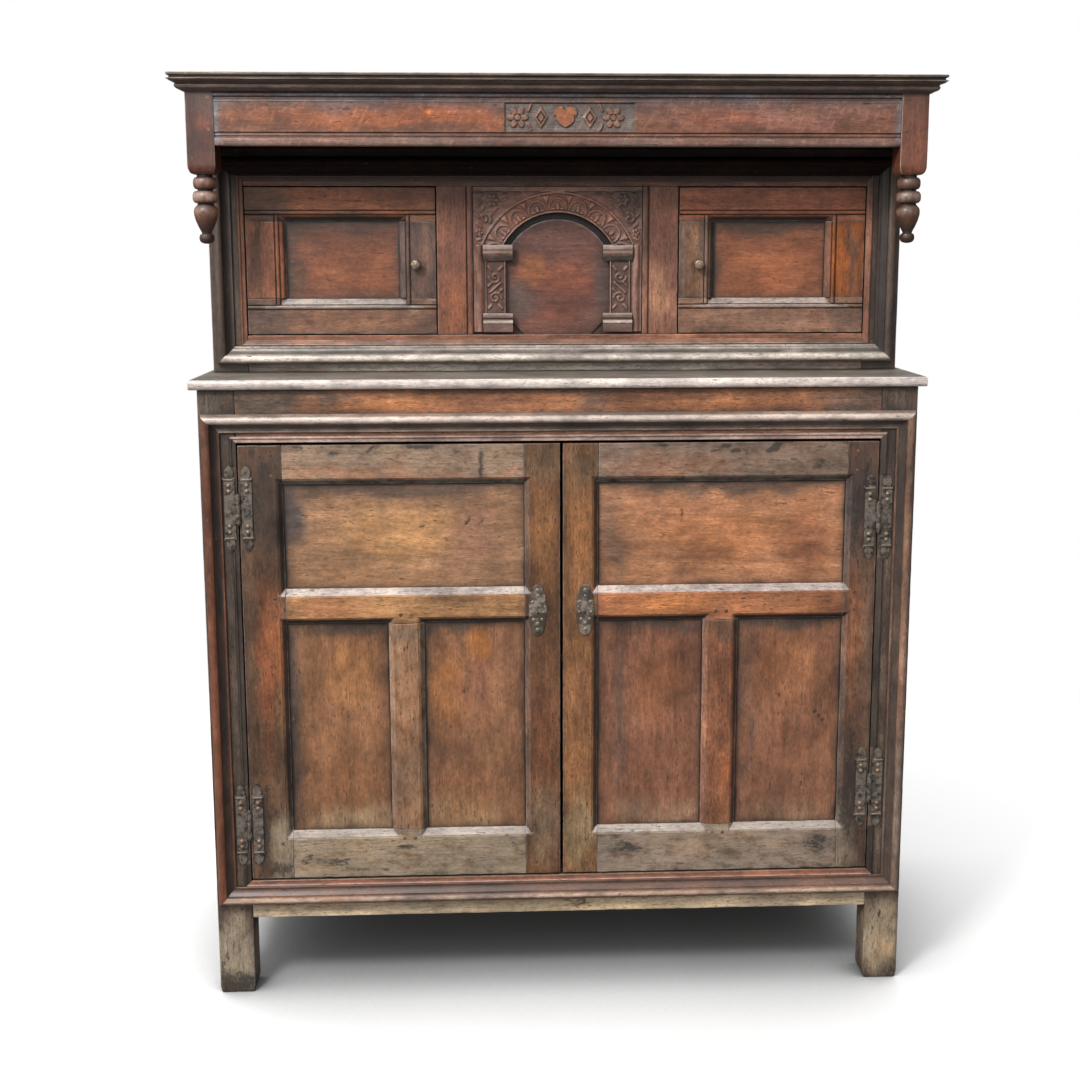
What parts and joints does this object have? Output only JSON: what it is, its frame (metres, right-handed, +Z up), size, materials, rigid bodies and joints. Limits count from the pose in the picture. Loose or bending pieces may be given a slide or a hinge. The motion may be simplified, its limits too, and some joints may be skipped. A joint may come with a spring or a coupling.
{
  "type": "court cupboard",
  "caption": "Joined oak court cupboard: a closed base with panelled doors, a recessed upper stage with small doors and an arched panel, under a canopy with turned drops.",
  "frame": {"origin": "on the floor, under the middle of the whole piece", "axes": "+X to the right seen from the front, +Y to the back, +Z up"},
  "size_m": [1.382, 0.568, 1.742],
  "materials": {
    "oak_lower_stage": "waxed, worn and darkened",
    "oak_upper_stage": "waxed, dark",
    "oak_panel": "waxed, worn",
    "oak_moulding": "waxed, polished on the edges",
    "oak_rough": "sawn and unfinished",
    "oak_peg": "waxed end grain",
    "iron": "hand wrought, rusty brown-black",
    "knob_metal": "dull, patinated"
  },
  "bodies": {
    "root": {"arch_facade": "oak_upper_stage", "arch_panel": "oak_panel", "back_boards": "oak_rough", "back_rails": "oak_rough", "canopy_posts": "oak_upper_stage", "cornice_moulding": "oak_moulding", "cupboard_floor_boards": "oak_rough", "cupboard_shelf_boards": "oak_rough", "deck_boards": "oak_lower_stage", "floor_and_shelf_bearers": "oak_rough", "frame_pegs": "oak_peg", "frieze_rail": "oak_upper_stage", "hinge_frame_leaves": "iron", "hinge_pins": "iron", "lower_front_rails": "oak_lower_stage", "lower_front_stiles": "oak_lower_stage", "lower_opening_moulding": "oak_moulding", "lower_rear_stiles": "oak_lower_stage", "lower_side_rails": "oak_lower_stage", "side_friezes": "oak_upper_stage", "side_panels": "oak_lower_stage", "soffit_boards": "oak_rough", "top_boards": "oak_rough", "upper_door_pivots": "iron", "upper_front_rails": "oak_upper_stage", "upper_front_stiles": "oak_upper_stage", "upper_muntins": "oak_upper_stage", "upper_opening_moulding": "oak_moulding", "upper_rear_stiles": "oak_upper_stage", "upper_side_rails": "oak_upper_stage"},
    "left_door": {"left_door_escutcheon": "iron", "left_door_hinge_leaves": "iron", "left_door_lower_panels": "oak_panel", "left_door_muntin": "oak_lower_stage", "left_door_pegs": "oak_peg", "left_door_rails": "oak_lower_stage", "left_door_stiles": "oak_lower_stage", "left_door_upper_panel": "oak_panel", "lock_keep": "iron", "slip_bolt_staples": "iron"},
    "right_door": {"right_door_escutcheon": "iron", "right_door_hinge_leaves": "iron", "right_door_lower_panels": "oak_panel", "right_door_muntin": "oak_lower_stage", "right_door_pegs": "oak_peg", "right_door_rails": "oak_lower_stage", "right_door_stiles": "oak_lower_stage", "right_door_upper_panel": "oak_panel", "lock_case": "oak_rough"},
    "lock_bolt": {"lock_bolt": "iron"},
    "slip_bolt": {"slip_bolt": "iron"},
    "left_upper_door": {"left_upper_door_panel": "oak_panel", "left_upper_door_rails": "oak_upper_stage", "left_upper_door_stiles": "oak_upper_stage"},
    "right_upper_door": {"right_upper_door_panel": "oak_panel", "right_upper_door_rails": "oak_upper_stage", "right_upper_door_stiles": "oak_upper_stage"},
    "left_knob": {"left_upper_door_knob": "knob_metal"},
    "right_knob": {"right_upper_door_knob": "knob_metal"}
  },
  "joints": [
    {"name": "left_door_hinge", "type": "hinge", "parent": "root", "child": "left_door", "pos_m": [-0.5974, -0.261, 0.65], "axis": [0, 0, -1], "range_deg": [0, 110]},
    {"name": "right_door_hinge", "type": "hinge", "parent": "root", "child": "right_door", "pos_m": [0.5974, -0.261, 0.65], "axis": [0, 0, 1], "range_deg": [0, 110]},
    {"name": "lock_bolt_slide", "type": "slide", "parent": "right_door", "child": "lock_bolt", "axis": [-1, 0, 0], "range_m": [0, 0.018]},
    {"name": "slip_bolt_slide", "type": "slide", "parent": "left_door", "child": "slip_bolt", "axis": [0, 0, 1], "range_m": [0, 0.022]},
    {"name": "left_upper_door_pivot", "type": "hinge", "parent": "root", "child": "left_upper_door", "pos_m": [-0.5854, -0.095, 1.4], "axis": [0, 0, -1], "range_deg": [0, 90]},
    {"name": "right_upper_door_pivot", "type": "hinge", "parent": "root", "child": "right_upper_door", "pos_m": [0.5854, -0.095, 1.4], "axis": [0, 0, 1], "range_deg": [0, 90]},
    {"name": "left_knob_turn", "type": "hinge", "parent": "left_upper_door", "child": "left_knob", "pos_m": [-0.2726, -0.106, 1.406], "axis": [0, -1, 0], "range_deg": [0, 90]},
    {"name": "right_knob_turn", "type": "hinge", "parent": "right_upper_door", "child": "right_knob", "pos_m": [0.2726, -0.106, 1.406], "axis": [0, 1, 0], "range_deg": [0, 90]}
  ]
}
